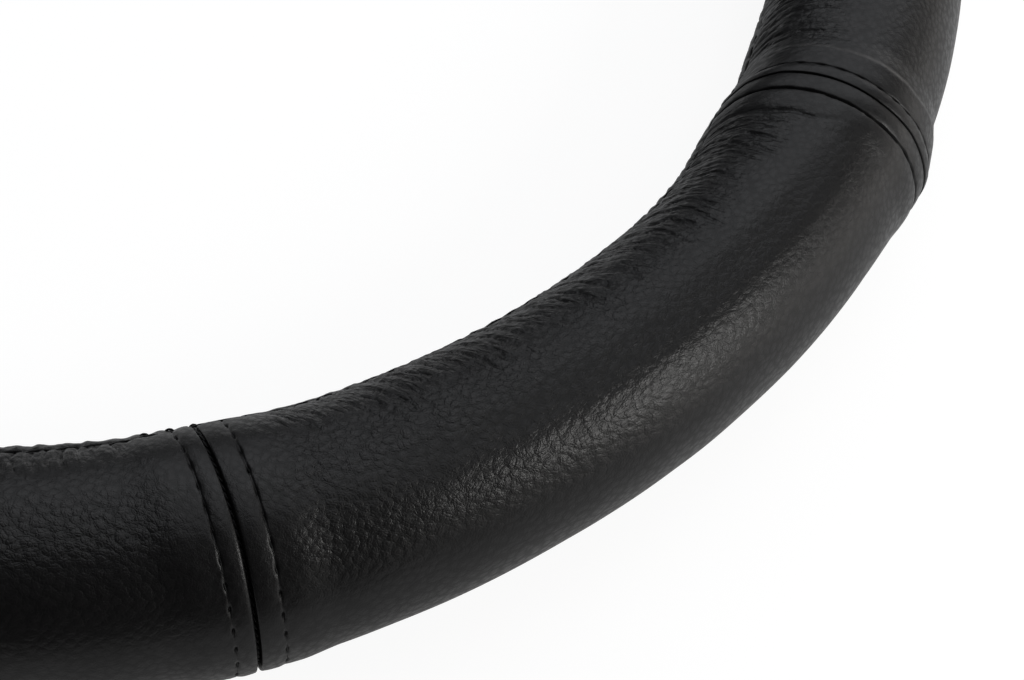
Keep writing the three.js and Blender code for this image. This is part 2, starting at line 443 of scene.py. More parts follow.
def seam_relief(number, side, edge, around, angle):
    """Height by the distance from a seam: fold, topstitch furrow, band and its end."""
    seed = 37 + 10 * number + (side == "end")
    inset = TOPSTITCH_INSET[side][number - 1] + 0.08 * waver(around / 5, seed + 4)
    if (number, side) == (1, "end"):
        inset = inset + 0.12 * waver(around / 1.7, seed + 5)
    band = band_rise(number, side, edge, around, seed)
    at_second_seam = (number, side) in ((1, "end"), (2, "start"))
    deep, wide = (0.2, 0.16) if at_second_seam else (1.0, 0.3)
    wide = wide - 0.1 * ramp(angle, 90, 110)
    inner = 1 - np.minimum(edge / wide, 1.0)
    fold = -deep * (1 - np.sqrt(np.clip(1 - inner**2, 0, 1)))
    dome = 0.14 * np.clip(np.sin(np.pi * np.clip(edge / inset, 0, 1)), 0, 1)
    stitched = stitch_furrow(number, side, edge, inset, around, angle, seed)
    beside = ramp(edge, inset + 0.6, inset + 2) * (1 - ramp(edge, 9, 12))
    creep = 0.035 * wander(edge / 3.0, around / 1.9, seed + 2) * beside
    dip = 1 - ramp(np.abs(angle), HEM_STITCH_ANGLE - 1, HEM_STITCH_ANGLE + 3)
    return band * (0.35 + 0.65 * dip) + fold + (dome + stitched + creep) * dip


def gathers(count, around, seed):
    """Separate sharp folds, one to a unit of the count, each of its own length and height."""
    which, crest = np.floor(count), np.round(count)
    part = ramp(wander(which * 7.31, around / 4.5 + which * 3.7, seed), -1.0, 0.1)
    swell = wander(crest * 5.3, around / 4 + crest * 2.9, seed + 1)
    swell = swell * np.cos(np.pi * (count - crest)) ** 2
    return part * np.exp(-np.abs(count - which - 0.5) / 0.09) - 0.32 * swell


def gathered(number, along, length, angle, level):
    """From 0 on the smooth top to 1 beside the mouth, where the leather is gathered."""
    share, nearest = along / length, np.minimum(along, length - along)
    first, width = {1: (97, 26), 2: (84, 38)}.get(number, (101, 17))
    smooth_end = 16 * ramp(share, 0.45, 0.7) if number == PANELS else 0
    first = first + smooth_end + 7 * waver(share * 26, 100 * number + 5)
    hem = 1 - ramp(np.abs(angle), HEM_STITCH_ANGLE - 2, HEM_STITCH_ANGLE + 4)
    calm = ramp(nearest, 4.5, 6) * (0.25 + 0.75 * ramp(nearest, 8, 13))
    return ramp(np.abs(level), first, first + width) * hem * calm


def fold_place(number, along, length, angle):
    """Coordinates that follow the gathers, which lean near the first panel's start."""
    share, around = along / length, np.radians(angle) * TUBE_MM
    lean = {1: 0.04 + 0.3 * (1 - ramp(share, 0.3, 0.9)), 2: 0.1}.get(number, 0.04)
    return PANEL_LENGTH * share + lean * np.abs(around), around


def gather_relief(number, along, length, angle, level):
    """Short folds across the tube on its hub side, above and below the mouth."""
    share, seed = along / length, 100 * number
    folded, around = fold_place(number, along, length, angle)
    count = folded / (2.2 if number == 2 else 2.6)
    count = count + 0.35 * wander(around / 9, share * 14, seed + 20)
    count = count + 0.26 * wander(around / 2.2, share * 52, seed + 21)
    folds = FOLD_DEPTH * gathers(count, around, seed + 22)
    folds = folds + FINE_FOLD_DEPTH * gathers(count * 1.87 + 0.3, around, seed + 30)
    return folds * gathered(number, along, length, angle, level)


def soft_relief(number, along, length, around, level):
    """The leather lies slightly uneven over the core, with long soft creases along the top."""
    seed, middle = 100 * number, ramp(np.minimum(along, length - along), 8, 22)
    crumbs = 0.11 * wander(along / length * 165, around / 0.9, seed + 33)
    height = crumbs * ramp(np.abs(level), 124, 140)
    height = height + 0.16 * wander(along / 24, around / 15, seed + 6)
    height = height + 0.05 * wander(along / 9, around / 6, seed + 7)
    for k, place in enumerate((71, 63, 34, 88)):
        path = place + 3.0 * wander(along / 11, 0 * along + k, seed + 8)
        part = ramp(wander(along / 17, 0 * along + 3 * k, seed + 9), -0.25, 0.35)
        height = height - 0.06 * hill(level, path, 1.3) * part
    return height * middle


def hem_relief(number, share, angle):
    """The hem's stitches pull the leather down beside its fold and scallop the fold."""
    seed = 100 * number
    beat = np.cos(2 * np.pi * PANEL_LENGTH * share / HEM_PITCH)
    line = np.abs(angle) - HEM_STITCH_ANGLE - 0.9 * waver(share * 15, seed + 10)
    pulled = 0.28 * hill(line, 0, 1.3) + 0.10 * beat * hill(line, 0, 2.0)
    scallop = (0.13 if number == PANELS else 0.05) + 0.05 * waver(share * 31, seed + 11)
    return pulled + scallop * beat * hill(line, 6.5, 4.5)


def first_panel_shape(along, length, level):
    """The whole panel that is seen: its waist, hollows, swollen end and one long crease."""
    share, to_end = along / length, length - along
    hub_side = np.abs(level)
    hollow = 0.35 * hill(share, 0.66, 0.18) * ramp(hub_side, 95, 140)
    middle = ramp(along, 3, 8) * (1 - ramp(share, 0.74, 0.9))
    hollow = hollow + 0.25 * ramp(hub_side, 120, 165) * middle
    hollow = hollow + 0.2 * hill(along, 17, 7) * ramp(level, 110, 150)
    waist = 0.3 * hill(level, 80, 9) * ramp(along, 14, 44) * (1 - ramp(share, 0.8, 0.95))
    swell = (1 - ramp(to_end, 0, 24)) * ramp(level, 105, 165)
    crease_at = length - 9.8 - 0.45 * waver(level / 14, 7) + 1.3 * ramp(level, 105, 80)
    broad = 0.25 + 0.4 * ramp(level, 110, 130) - 0.35 * ramp(level, 140, 156)
    deep = 0.5 * ramp(level, 78, 104) * (1 - 0.5 * ramp(level, 138, 158))
    crease = deep * np.exp(-np.abs(along - crease_at) / broad)
    outer = [0, 0.2, 0.35, 0.5, 0.7, 0.85, 1], [0.7, 0.35, -0.1, 0.05, 0.7, 0.85, 2.0]
    return swell + np.interp(share, *outer) * hill(level, -5, 32) - hollow - waist - crease


def panel_shape(number, along, length, level):
    """Forms that belong to one place, on the panels that are seen."""
    share = along / length
    if number == 1:
        return first_panel_shape(along, length, level)
    if number == 2:
        swell = 0.9 - 0.55 * ramp(along, 0.5, 4) + 1.05 * ramp(along, 8, 18)
        swell = swell * ramp(level, 95, 168) * (1 - ramp(share, 0.5, 1))
        return swell + 2.0 * (1 - ramp(along, 0, 14)) * hill(level, -5, 32)
    if number == PANELS:
        swell = 0.6 * hill(share, 0.72, 0.14) * ramp(level, 115, 150)
        return swell + 0.7 * ramp(share, 0.7, 1) * hill(level, -5, 32)
    return 0 * along


def seam_drift(azimuth, level):
    """How far the two seen seams wander along the ring as they go round the tube."""
    place = np.degrees(azimuth + np.pi) % 360 - 180
    first = -2.1 * np.clip((level - 60) / 80, 0, 1.2) ** 1.5
    around = [0, 45, 70, 110, 130, 150, 165, 180]
    second = np.interp(level, around, [1.4, 1.0, 0, -0.6, -1.2, -3.1, -7, -9.5])
    return first * hill(place, FIRST_SEAM_AT, 9) + second * hill(place, SECOND_SEAM_AT, 9)


def edge_shift(number, along, length, level):
    """How far a panel's end moves, which opens the first seam and closes the second."""
    first = 0.06 * ramp(level, 88, 120)
    at_start = {1: first, 2: -0.15}.get(number, 0) * (1 - ramp(along, 0, 30))
    at_end = {PANELS: -first, 1: 0.15}.get(number, 0) * (1 - ramp(length - along, 0, 30))
    return at_start + at_end


def panel_start(number):
    return (number - 1) * PANEL_ARC + math.radians(FIRST_SEAM_AT)


def panel_length(start):
    """The panel's length at places of the tube's section."""
    return (RING_RADIUS + start[:, 0]) * PANEL_ARC * 1000 - SEAM_GAP * 1000


def panel_point(number, along, length, angle, facing, start, lift=0.0):
    """Where a place on a panel's outside goes, before the tube is twisted."""
    reach = RING_RADIUS + start[..., 0]
    first = panel_start(number)
    azimuth = first + (along / 1000 + SEAM_GAP / 2) / reach
    far = first + PANEL_ARC - ((length - along) / 1000 + SEAM_GAP / 2) / reach
    azimuth = np.where(along < length / 2, azimuth, far)
    around, level = np.radians(angle) * TUBE_MM, angle + np.degrees(twist(azimuth))
    raised = seam_relief(number, "start", along, around, angle)
    raised = raised + seam_relief(number, "end", length - along, around, angle)
    raised = raised - gather_relief(number, along, length, angle, level)
    raised = raised + soft_relief(number, along, length, around, level)
    raised = raised - hem_relief(number, along / length, angle)
    raised = raised + panel_shape(number, along, length, level)
    section = start + facing * ((raised + lift) / 1000)[..., None]
    moved = seam_drift(azimuth, level) / 1000 / reach
    azimuth = azimuth + moved
    azimuth = azimuth + edge_shift(number, along, length, level) / 1000 / reach
    out = RING_RADIUS + section[..., 0]
    up = CENTRE_HEIGHT + section[..., 1]
    return np.stack([out * np.cos(azimuth), out * np.sin(azimuth), up], -1)


def panel_section():
    """The closed section of the leather: points, their outward directions and their angles."""
    points, facing, angles, outside = [], [], [], []

    def put(radius, angle, heading=None, seat=None, skin=True):
        direction = angle if heading is None else angle + heading
        base = (0, 0) if seat is None else polar(seat, angle)
        step = polar(radius, direction)
        points.append((base[0] + step[0], base[1] + step[1], 0))
        facing.append((math.cos(direction), math.sin(direction)))
        past = 0 if heading is None else math.degrees(heading) / 180 * 8
        angles.append(math.degrees(angle) + past)
        outside.append(skin)

    def skin_angles(first, last, step):
        return np.linspace(first, last, round(abs(first - last) / (step / TUBE_MM)))

    rolls = [math.radians(t) for t in range(18, 163, 18)]
    hub_side = math.radians(98)
    hub = skin_angles(FOLD_ANGLE, hub_side, SKIN_STEP)
    front = skin_angles(hub_side, -hub_side, FRONT_STEP)[1:-1]
    for a in [*-hub, *front[::-1], *hub[::-1]]:
        put(TUBE_RADIUS, a)
    for turn in rolls:
        put(HEM_ROUNDING, FOLD_ANGLE, turn, HEM_SEAT)
    for a in np.linspace(FOLD_ANGLE, TURN_IN_ANGLE, 4):
        put(TURN_IN_INSIDE, a, skin=False)
    for a in np.linspace(TURN_IN_ANGLE, FOLD_ANGLE, 3):
        put(TURN_IN_INSIDE + LEATHER_WALL, a, skin=False)
    for turn in (135, 90, 45):
        put(HEM_ROUNDING - LEATHER_WALL, FOLD_ANGLE, math.radians(turn), HEM_SEAT, False)
    for a in np.linspace(FOLD_ANGLE, -FOLD_ANGLE, 25):
        put(TUBE_RADIUS - LEATHER_WALL, a, skin=False)
    for turn in (-45, -90, -135):
        put(HEM_ROUNDING - LEATHER_WALL, -FOLD_ANGLE, math.radians(turn), HEM_SEAT, False)
    for a in np.linspace(-FOLD_ANGLE, -TURN_IN_ANGLE, 3):
        put(TURN_IN_INSIDE + LEATHER_WALL, a, skin=False)
    for a in np.linspace(-TURN_IN_ANGLE, -FOLD_ANGLE, 4):
        put(TURN_IN_INSIDE, a, skin=False)
    for turn in reversed(rolls):
        put(HEM_ROUNDING, -FOLD_ANGLE, -turn, HEM_SEAT)
    return np.array(points), np.array(facing), np.array(angles), np.array(outside)


def from_seam(inset):
    """Distances of the stations that follow a seam, closest at its fold and its stitches."""
    fold = [0, 0.03, 0.09, 0.18, 0.34, 0.7]
    strip = np.linspace(0.7, inset - 0.6, 7)[1:-1]
    furrow = np.linspace(inset - 0.6, inset + 0.6, 11)
    past = inset + 0.6 + np.arange(1, EDGE_STATIONS - 21) * 0.33
    return np.concatenate([fold, strip, furrow, past])


def station_places(number, row, length):
    """How far along a panel each station of the swept section lies."""
    near = from_seam(TOPSTITCH_INSET["start"][number - 1])
    far = from_seam(TOPSTITCH_INSET["end"][number - 1])
    step = (length - near[-1] - far[-1]) / (STATIONS - 2 * EDGE_STATIONS + 1)
    along = near[-1] + (row - EDGE_STATIONS + 1) * step
    first_rows, last_rows = row < EDGE_STATIONS, row >= STATIONS - EDGE_STATIONS
    along[first_rows] = near[row[first_rows]]
    along[last_rows] = length[last_rows] - far[STATIONS - 1 - row[last_rows]]
    return along


def grain_place(number, along, length, around):
    """Coordinates that the grain follows, with the leather drawn tight beside the seams."""
    spread = along / length * PANEL_LENGTH
    drawn = np.exp(-(PANEL_LENGTH - spread) / 16) - np.exp(-spread / 16)
    return np.stack([spread + 9 * drawn + 211 * number, around, 0 * around], -1)


def grain_depth(number, along, length, angle, level):
    """How deep the grain is: shallow beside the seams, at the front and among the gathers."""
    share, hub_side = along / length, np.abs(angle)
    depth = 0.3 + 0.7 * ramp(np.minimum(along, length - along), 3.2, 12)
    depth = depth * (0.4 + 0.6 * ramp(np.abs(level), 22, 52))
    pulled = {1: 1 - 0.4 * ramp(share, 0.6, 0.85), 2: 0.7, PANELS: 0.85}
    depth = depth * pulled.get(number, 1) * (1 - 0.5 * ramp(hub_side, 98, 120))
    calm = {1: ramp(share, 0.35, 0.6), 2: 1.0, PANELS: 0.6}.get(number, 0.8)
    return depth * (1 + (1.2 - 0.6 * calm) * ramp(hub_side, 76, 90))


def painted_band_highlight_line(number, along, around, level):
    """A painted highlight: the pale line along the second panel's band, over the step beneath it."""
    if number != 2:
        return 0 * along
    line = hill(along - 8.1 - 0.6 * waver(around / 9, 57), 0, 0.42)
    line = line * ramp(level, 30, 50) * (1 - ramp(level, 116, 140))
    return (0.5 + 0.25 * waver(around / 3, 58)) * line


def leather_grain(tree, place):
    """Height of the pebbles, height with the fine grain on them, and the patches of wear."""
    vector = "ShaderNodeVectorMath"
    drift = reckon(tree, "SUBTRACT", noise(tree, place, 0.3, 1.0)["Color"], (0.5,) * 3, kind=vector)
    bent = reckon(tree, "MULTIPLY_ADD", drift, (1.6, 1.6, 0), place, kind=vector)
    bent = reckon(tree, "MULTIPLY", bent, (0.78, 1.0, 1.0), kind=vector)
    bent = add_node(
        tree, "ShaderNodeVectorRotate", {"Vector": bent, "Angle": 0.8}, rotation_type="Z_AXIS"
    ).outputs[0]

    def cells(scale, randomness, feature, **inputs):
        inputs = {"Vector": bent, "Scale": scale, "Randomness": randomness, **inputs}
        kind, flat = "ShaderNodeTexVoronoi", "2D"
        made = add_node(tree, kind, inputs, feature=feature, voronoi_dimensions=flat)
        return made.outputs["Distance"]

    patches = noise(tree, place, 0.09, 3.0)[0]
    depth = carry_range(tree, patches, 0.35, 0.65, 0.75, 1.15)
    middles = cells(GRAIN_SCALE, 0.8, "SMOOTH_F1", Smoothness=0.35)
    domed = carry_range(tree, middles, 0.12, 0.62, 0.95, 0.0, "SMOOTHSTEP")
    edges = cells(GRAIN_SCALE, 0.8, "DISTANCE_TO_EDGE")
    edged = carry_range(tree, edges, 0.0, 0.1, 0.0, 0.15, "SMOOTHSTEP")
    pebbles = reckon(tree, "MULTIPLY", reckon(tree, "ADD", domed, edged), depth)
    fine_edges = cells(FINE_GRAIN_SCALE, 1.0, "DISTANCE_TO_EDGE")
    fine = carry_range(tree, fine_edges, 0.0, 0.3, 0.0, 0.3, "SMOOTHSTEP")
    return pebbles, reckon(tree, "ADD", pebbles, fine), patches


def leather_creases(tree):
    """Height of the small creases among the gathers, and how strong they are."""
    folds = add_node(tree, "ShaderNodeAttribute", attribute_name="fold_place").outputs["Vector"]
    strength = add_node(tree, "ShaderNodeSeparateXYZ", {0: folds}).outputs["Z"]
    folds = reckon(tree, "MULTIPLY", folds, (0.78, 0.17, 0), kind="ShaderNodeVectorMath")
    folds = reckon(tree, "SUBTRACT", noise(tree, folds, 1.0, 1.5)[0], 0.5)
    folds = reckon(tree, "ABSOLUTE", folds)
    return carry_range(tree, folds, 0.0, 0.13, 0.0, 1.0, "SMOOTHSTEP"), strength


def leather_finish():
    finish, tree, shader = new_finish("black pebbled leather")
    place = add_node(tree, "ShaderNodeAttribute", attribute_name="grain_place").outputs["Vector"]
    pebbles, height, patches = leather_grain(tree, place)
    creases, crease_strength = leather_creases(tree)
    pores = noise(tree, place, 2.6, 3.0)[0]
    skin = {"Strength": 0.55, "Distance": 0.00006, "Height": pores}
    skin = add_node(tree, "ShaderNodeBump", skin).outputs[0]
    creased = {"Strength": crease_strength, "Distance": 0.0001, "Height": creases, "Normal": skin}
    creased = add_node(tree, "ShaderNodeBump", creased).outputs[0]
    worked = add_node(tree, "ShaderNodeAttribute", attribute_name="grain_depth").outputs["Fac"]
    deep = reckon(tree, "MULTIPLY", worked, 0.48)
    bump = {"Strength": deep, "Distance": 0.0001, "Height": height, "Normal": creased}
    bump = add_node(tree, "ShaderNodeBump", bump).outputs[0]
    # Painted shade in the grain's creases and a painted highlight on its domes, stronger where the
    # grain is deeper.
    shade = add_node(tree, "ShaderNodeMix", {"Factor": worked, 2: 0.6, 3: pebbles}).outputs[0]
    colour = mix_colours(tree, shade, LEATHER_CREASE_PAINTED_SHADE, LEATHER_DOME_PAINTED_HIGHLIGHT)
    worn = mix_colours(tree, patches, LEATHER_DARKER, LEATHER_LIGHTER)
    colour = mix_colours(tree, 1.0, colour, worn, "MULTIPLY")
    # The pale line along the second panel's band is a painted highlight, mixed over the leather's
    # colour.
    painted_band_highlight = add_node(tree, "ShaderNodeAttribute", attribute_name="painted_band_highlight").outputs["Fac"]
    colour = mix_colours(tree, painted_band_highlight, colour, LEATHER_PAINTED_BAND_HIGHLIGHT)
    tree.links.new(colour, shader.inputs["Base Color"])
    tree.links.new(carry_range(tree, height, 0.0, 1.4, 0.52, 0.33), shader.inputs["Roughness"])
    tree.links.new(bump, shader.inputs["Normal"])
    tree.links.new(bump, shader.inputs["Coat Normal"])
    shader.inputs["Specular IOR Level"].default_value = 0.16
    shader.inputs["Coat Weight"].default_value = 0.2
    shader.inputs["Coat Roughness"].default_value = 0.24
    return finish


def swept_index(mesh, name):
    """The number of each point's station or section point."""
    numbers = np.zeros(len(mesh.vertices), int)
    mesh.attributes[name].data.foreach_get("value", numbers)
    return numbers


section_points, section_facing, section_angles, section_outside = panel_section()
leather = leather_finish()
for number in range(1, PANELS + 1):
    panel = run_tree(
        f"leather_panel_{number}_sewn",
        wire("panel section", [(section_points, True)]),
        ring_sweep,
        {
            "Ring Radius": RING_RADIUS,
            "Centre Height": CENTRE_HEIGHT,
            "First Angle": panel_start(number),
            "Arc": PANEL_ARC,
            "Stations": STATIONS,
            "Closed": False,
            "Finish": leather,
        },
    )
    mesh = panel.data
    column = swept_index(mesh, "section_index")
    start, angle = section_points[column][:, :2], section_angles[column]
    facing = section_facing[column] * section_outside[column][:, None]
    length = panel_length(start)
    along = station_places(number, swept_index(mesh, "station_index"), length)
    placed = panel_point(number, along, length, angle, facing, start)
    mesh.vertices.foreach_set("co", turn_tube(placed).ravel())

    around = np.radians(angle) * TUBE_MM
    level = angle + np.degrees(twist(np.arctan2(placed[:, 1], placed[:, 0])))
    put_on_points(mesh, "grain_place", grain_place(number, along, length, around))
    put_on_points(mesh, "grain_depth", grain_depth(number, along, length, angle, level))
    creased = gathered(number, along, length, angle, level) * (0.5 if number == 2 else 0.9)
    folds = np.stack([*fold_place(number, along, length, angle), creased], -1)
    put_on_points(mesh, "fold_place", folds)
    # The mask of the painted highlight along the second panel's band.
    put_on_points(mesh, "painted_band_highlight", painted_band_highlight_line(number, along, around, level))
    face_outwards(mesh)
    mesh.shade_smooth()
    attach(panel, "root")
    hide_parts(f"leather_panel_{number}")

# Topstitching. A row of waxed black thread runs down each side of every seam and holds the
# folded edges flat. Each stitch is pulled down into the furrow between two needle holes.

TOPSTITCH_SUNK = -0.12
THREAD_RADIUS = 0.00018
THREAD_DARK = (0.0025, 0.0025, 0.0027, 1)
THREAD_WORN = (0.007, 0.007, 0.0072, 1)


def stitch_curve(tree, sizes):
    """One stitch: a short thread arched between its two holes, and pinched at its ends."""
    half = reckon(tree, "MULTIPLY", sizes["Stitch Length"], 0.5)
    back = reckon(tree, "MULTIPLY", half, -1.0)
    dip = reckon(tree, "MULTIPLY", sizes["Arch"], -1.0)
    corners = {"Start": {0: back, 2: dip}, "Middle": {2: sizes["Arch"]}, "End": {0: half, 2: dip}}
    bow = {"Resolution": 6}
    for corner, place in corners.items():
        bow[corner] = add_node(tree, "ShaderNodeCombineXYZ", place).outputs[0]
    thread = add_node(tree, "GeometryNodeCurveQuadraticBezier", bow).outputs[0]
    share = add_node(tree, "GeometryNodeSplineParameter").outputs["Factor"]
    plump = add_node(tree, "ShaderNodeFloatCurve", {"Value": share})
    for x, y in ((0.16, 0.95), (0.84, 0.95)):
        plump.mapping.curves[0].points.new(x, y)
    plump.mapping.curves[0].points[0].location = (0, 0.45)
    plump.mapping.curves[0].points[3].location = (1, 0.45)
    plump.mapping.update()
    section = add_node(
        tree,
        "GeometryNodeCurvePrimitiveCircle",
        {"Resolution": 6, "Radius": sizes["Thread Radius"]},
    ).outputs[0]
    swept = {"Curve": thread, "Profile Curve": section, "Scale": plump.outputs[0], "Fill Caps": True}
    swept = add_node(tree, "GeometryNodeCurveToMesh", swept).outputs[0]
    return add_node(tree, "GeometryNodeSetShadeSmooth", {"Geometry": swept}).outputs[0]


def stitch_tree():
    """Short threads laid end to end along the host's rows, each arched between its two holes."""
    tree, sizes, result = open_tree(
        "row of stitches",
        {
            "Pitch": "Float",
            "Stitch Length": "Float",
            "Thread Radius": "Float",
            "Arch": "Float",
            "Lean": "Float",
            "Unevenness": "Float",
            "Seed": "Int",
            "Finish": "Material",
        },
    )
    rows = add_node(tree, "GeometryNodeMeshToCurve", {"Mesh": sizes["Geometry"]}).outputs[0]
    spots = {"Curve": rows, "Length": sizes["Pitch"]}
    spots = add_node(tree, "GeometryNodeResampleCurve", spots, mode="LENGTH").outputs[0]
    tangent = add_node(tree, "GeometryNodeInputTangent").outputs[0]
    outward = recall(tree, "outward", "FLOAT_VECTOR")
    align = "FunctionNodeAlignRotationToVector"
    along = add_node(tree, align, {"Vector": tangent}, axis="X").outputs[0]
    upright = {"Rotation": along, "Vector": outward}
    upright = add_node(tree, align, upright, axis="Z", pivot_axis="X").outputs[0]
    tilt = add_node(
        tree,
        "FunctionNodeRandomValue",
        {0: (0, -0.05, -0.11), 1: (0, 0.05, 0.11), "Seed": sizes["Seed"]},
        data_type="FLOAT_VECTOR",
    ).outputs[0]
    tilt = {0: tilt, "Scale": sizes["Unevenness"]}
    tilt = add_node(tree, "ShaderNodeVectorMath", tilt, operation="SCALE").outputs[0]
    lean = add_node(tree, "ShaderNodeCombineXYZ", {2: sizes["Lean"]}).outputs[0]
    tilt = reckon(tree, "ADD", tilt, lean, kind="ShaderNodeVectorMath")
    turned = {"Rotation": upright, "Rotate By": tilt}
    turned = add_node(tree, "FunctionNodeRotateRotation", turned, rotation_space="LOCAL").outputs[0]
    sewn = {"Points": spots, "Instance": stitch_curve(tree, sizes), "Rotation": turned}
    sewn = add_node(tree, "GeometryNodeInstanceOnPoints", sewn).outputs[0]
    close_tree(tree, sewn, sizes["Finish"], result)
    return tree


def thread_finish():
    finish, tree, shader = new_finish("waxed black thread")
    place = add_node(tree, "ShaderNodeTexCoord").outputs["Object"]
    fibres = noise(tree, place, 4200.0, 3.0)[0]
    colour = mix_colours(tree, fibres, THREAD_DARK, THREAD_WORN)
    bump = {"Strength": 0.6, "Distance": 0.00005, "Height": fibres}
    bump = add_node(tree, "ShaderNodeBump", bump).outputs[0]
    tree.links.new(colour, shader.inputs["Base Color"])
    tree.links.new(bump, shader.inputs["Normal"])
    shader.inputs["Roughness"].default_value = 0.55
    shader.inputs["Specular IOR Level"].default_value = 0.15
    return finish


def outward_of(rows):
    """The direction away from the tube's centre line at each point of the rows."""
    points = np.concatenate([np.asarray(row) for row, closed in rows])
    azimuth = np.arctan2(points[:, 1], points[:, 0])
    across, along = RING_RADIUS * np.cos(azimuth), RING_RADIUS * np.sin(azimuth)
    away = points - np.stack([across, along, 0 * azimuth + CENTRE_HEIGHT], -1)
    return away / np.linalg.norm(away, axis=1, keepdims=True)


def on_panel(number, angle, along_from, lift):
    """Points on a panel's outside, at places along it that are worked out from its length."""
    facing = np.stack([np.cos(np.radians(angle)), np.sin(np.radians(angle))], -1)
    start = facing * TUBE_RADIUS
    length = panel_length(start)
    placed = panel_point(number, along_from(length), length, angle, facing, start, lift)
    return turn_tube(placed)


def row_round_tube(number, side, inset, lift):
    """Points round the tube's outside at a distance from one of a panel's two seams."""
    pitch = math.degrees(STITCH_PITCH / 4 / TUBE_MM)
    count = int((HEM_STITCH_ANGLE - 3) / pitch / 4) * 4
    angle = np.arange(-count, count + 1) * pitch
    if side == "start":
        return on_panel(number, angle, lambda length: 0 * length + inset, lift)
    return on_panel(number, angle, lambda length: length - inset, lift)


def sew(name, rows, **sizes):
    """Lays stitches of these sizes along rows of points."""
    values = {"Thread Radius": THREAD_RADIUS, "Unevenness": 1.0, "Finish": thread}
    values.update({key.replace("_", " ").title(): value for key, value in sizes.items()})
    sewn = run_tree(name, wire("stitch rows", rows, outward_of(rows)), stitches, values)
    face_outwards(sewn.data)
    return sewn


thread = thread_finish()
stitches = stitch_tree()
rows = []
for number in range(1, PANELS + 1):
    for side, insets in TOPSTITCH_INSET.items():
        row = row_round_tube(number, side, insets[number - 1], TOPSTITCH_SUNK)
        rows.append((row, False))
topstitching = sew(
    "topstitching",
    rows,
    pitch=STITCH_PITCH / 1000,
    stitch_length=0.0030,
    arch=0.0002,
    lean=0.06,
    seed=5,
)
replaced = [f"topstitch_{k}_{side}" for k in range(1, PANELS + 1) for side in ("left", "right")]
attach(topstitching, "root")
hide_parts(*replaced)

# Joining threads. The seam that joins two panels is sewn on their wrong sides, and its tight
# stitches of the same black thread show end to end, deep in the gap between the two folds.

JOINING_SUNK = 0.00025
FIRST_SEAM_LIFT = 0.0009

rows = []
for number in range(1, PANELS + 1):
    left = row_round_tube(number, "start", 0.0, 0.0)
    right = row_round_tube((number - 2) % PANELS + 1, "end", 0.0001, 0.0)
    middle = (left + right) / 2
    place = np.abs(np.linspace(-HEM_STITCH_ANGLE, HEM_STITCH_ANGLE, len(middle)))
    lift = (FIRST_SEAM_LIFT if number == 1 else 0) * ramp(place, 128, 142) - JOINING_SUNK
    rows.append((middle + lift[:, None] * outward_of([(middle, False)]), False))
joining = sew(
    "joining_threads",
    rows,
    pitch=0.0014,
    stitch_length=0.0016,
    thread_radius=0.00023,
    arch=0.00005,
    lean=0.25,
    seed=11,
)
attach(joining, "root")
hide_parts(*[f"joining_thread_{number}" for number in range(1, PANELS + 1)])

# Hem stitching. One row of the same thread runs right round each edge of the mouth, through
# the leather, the rubber lip and the leather that is turned in behind it. By the first seam
# three loops of its ends stand up. Each has its azimuth, level, height and reach.

HEM_ROW_POINTS = 240
HEM_LIFT = 0.15
THREAD_LOOPS = ((-93.7, 144, 0.7, 1.7), (-91.8, 145, 0.75, -1.6), (-91.0, 146, 0.7, 1.4))


def hem_row(side):
    """Points right round the ring beside one edge of the mouth."""
    angle = np.full(HEM_ROW_POINTS, side * HEM_STITCH_ANGLE)

    def spread(length):
        return np.linspace(0.5, length[0] - 0.5, HEM_ROW_POINTS)

    panels = range(1, PANELS + 1)
    return np.concatenate([on_panel(number, angle, spread, HEM_LIFT) for number in panels])


def thread_loop(azimuth, level, rise, reach):
    """A loop of loose thread that stands up beside the hem."""
    bend = np.linspace(0, math.pi, 9)
    out = TUBE_RADIUS - 0.0004 + rise / 1000 * np.sin(bend)
    turned = np.radians(azimuth) + reach / 1000 * (1 - np.cos(bend)) / 2 / RING_RADIUS
    across = RING_RADIUS + out * math.cos(math.radians(level))
    above = CENTRE_HEIGHT + out * math.sin(math.radians(level))
    return np.stack([across * np.cos(turned), across * np.sin(turned), above], -1)


hems = sew(
    "hem_stitching",
    [(hem_row(side), True) for side in (1, -1)],
    pitch=HEM_PITCH / 1000,
    stitch_length=0.0034,
    arch=0.00018,
    lean=0.12,
    seed=23,
)
loops = sew(
    "thread loops",
    [(thread_loop(*loop), False) for loop in THREAD_LOOPS],
    pitch=0.0004,
    stitch_length=0.0007,
    thread_radius=0.0002,
    arch=0.0,
    lean=0.0,
    unevenness=0.3,
    seed=31,
)
both = bmesh.new()
both.from_mesh(hems.data)
both.from_mesh(loops.data)
both.to_mesh(hems.data)
both.free()
bpy.data.objects.remove(loops)
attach(hems, "root")
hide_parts("hem_thread_upper", "hem_thread_lower")

# Studio. The cover lies on a white table under soft lamps. Those behind it and above give the
# cool bands of light on the hub side, and those in front and at the right the warmer band on
# the outside. The camera sees the table as white, and the leather mirrors it much dimmer.

WHITE = (0.86, 0.86, 0.86, 1)
TABLE_REACH = 4
TABLE_HEIGHT = -0.0001
TABLE_SEEN = 0.82
TABLE_MIRRORED = 0.15
LAMP_DISTANCE = 1.4
LAMP_TARGET = Vector((0.07, -0.15, 0.02))
COOL = (0.94, 0.96, 1.0)
PALE = (0.95, 0.97, 1.0)
NEUTRAL = (1.0, 0.99, 0.97)
SOFT = (1.0, 0.98, 0.95)
WARM = (1.0, 0.96, 0.92)


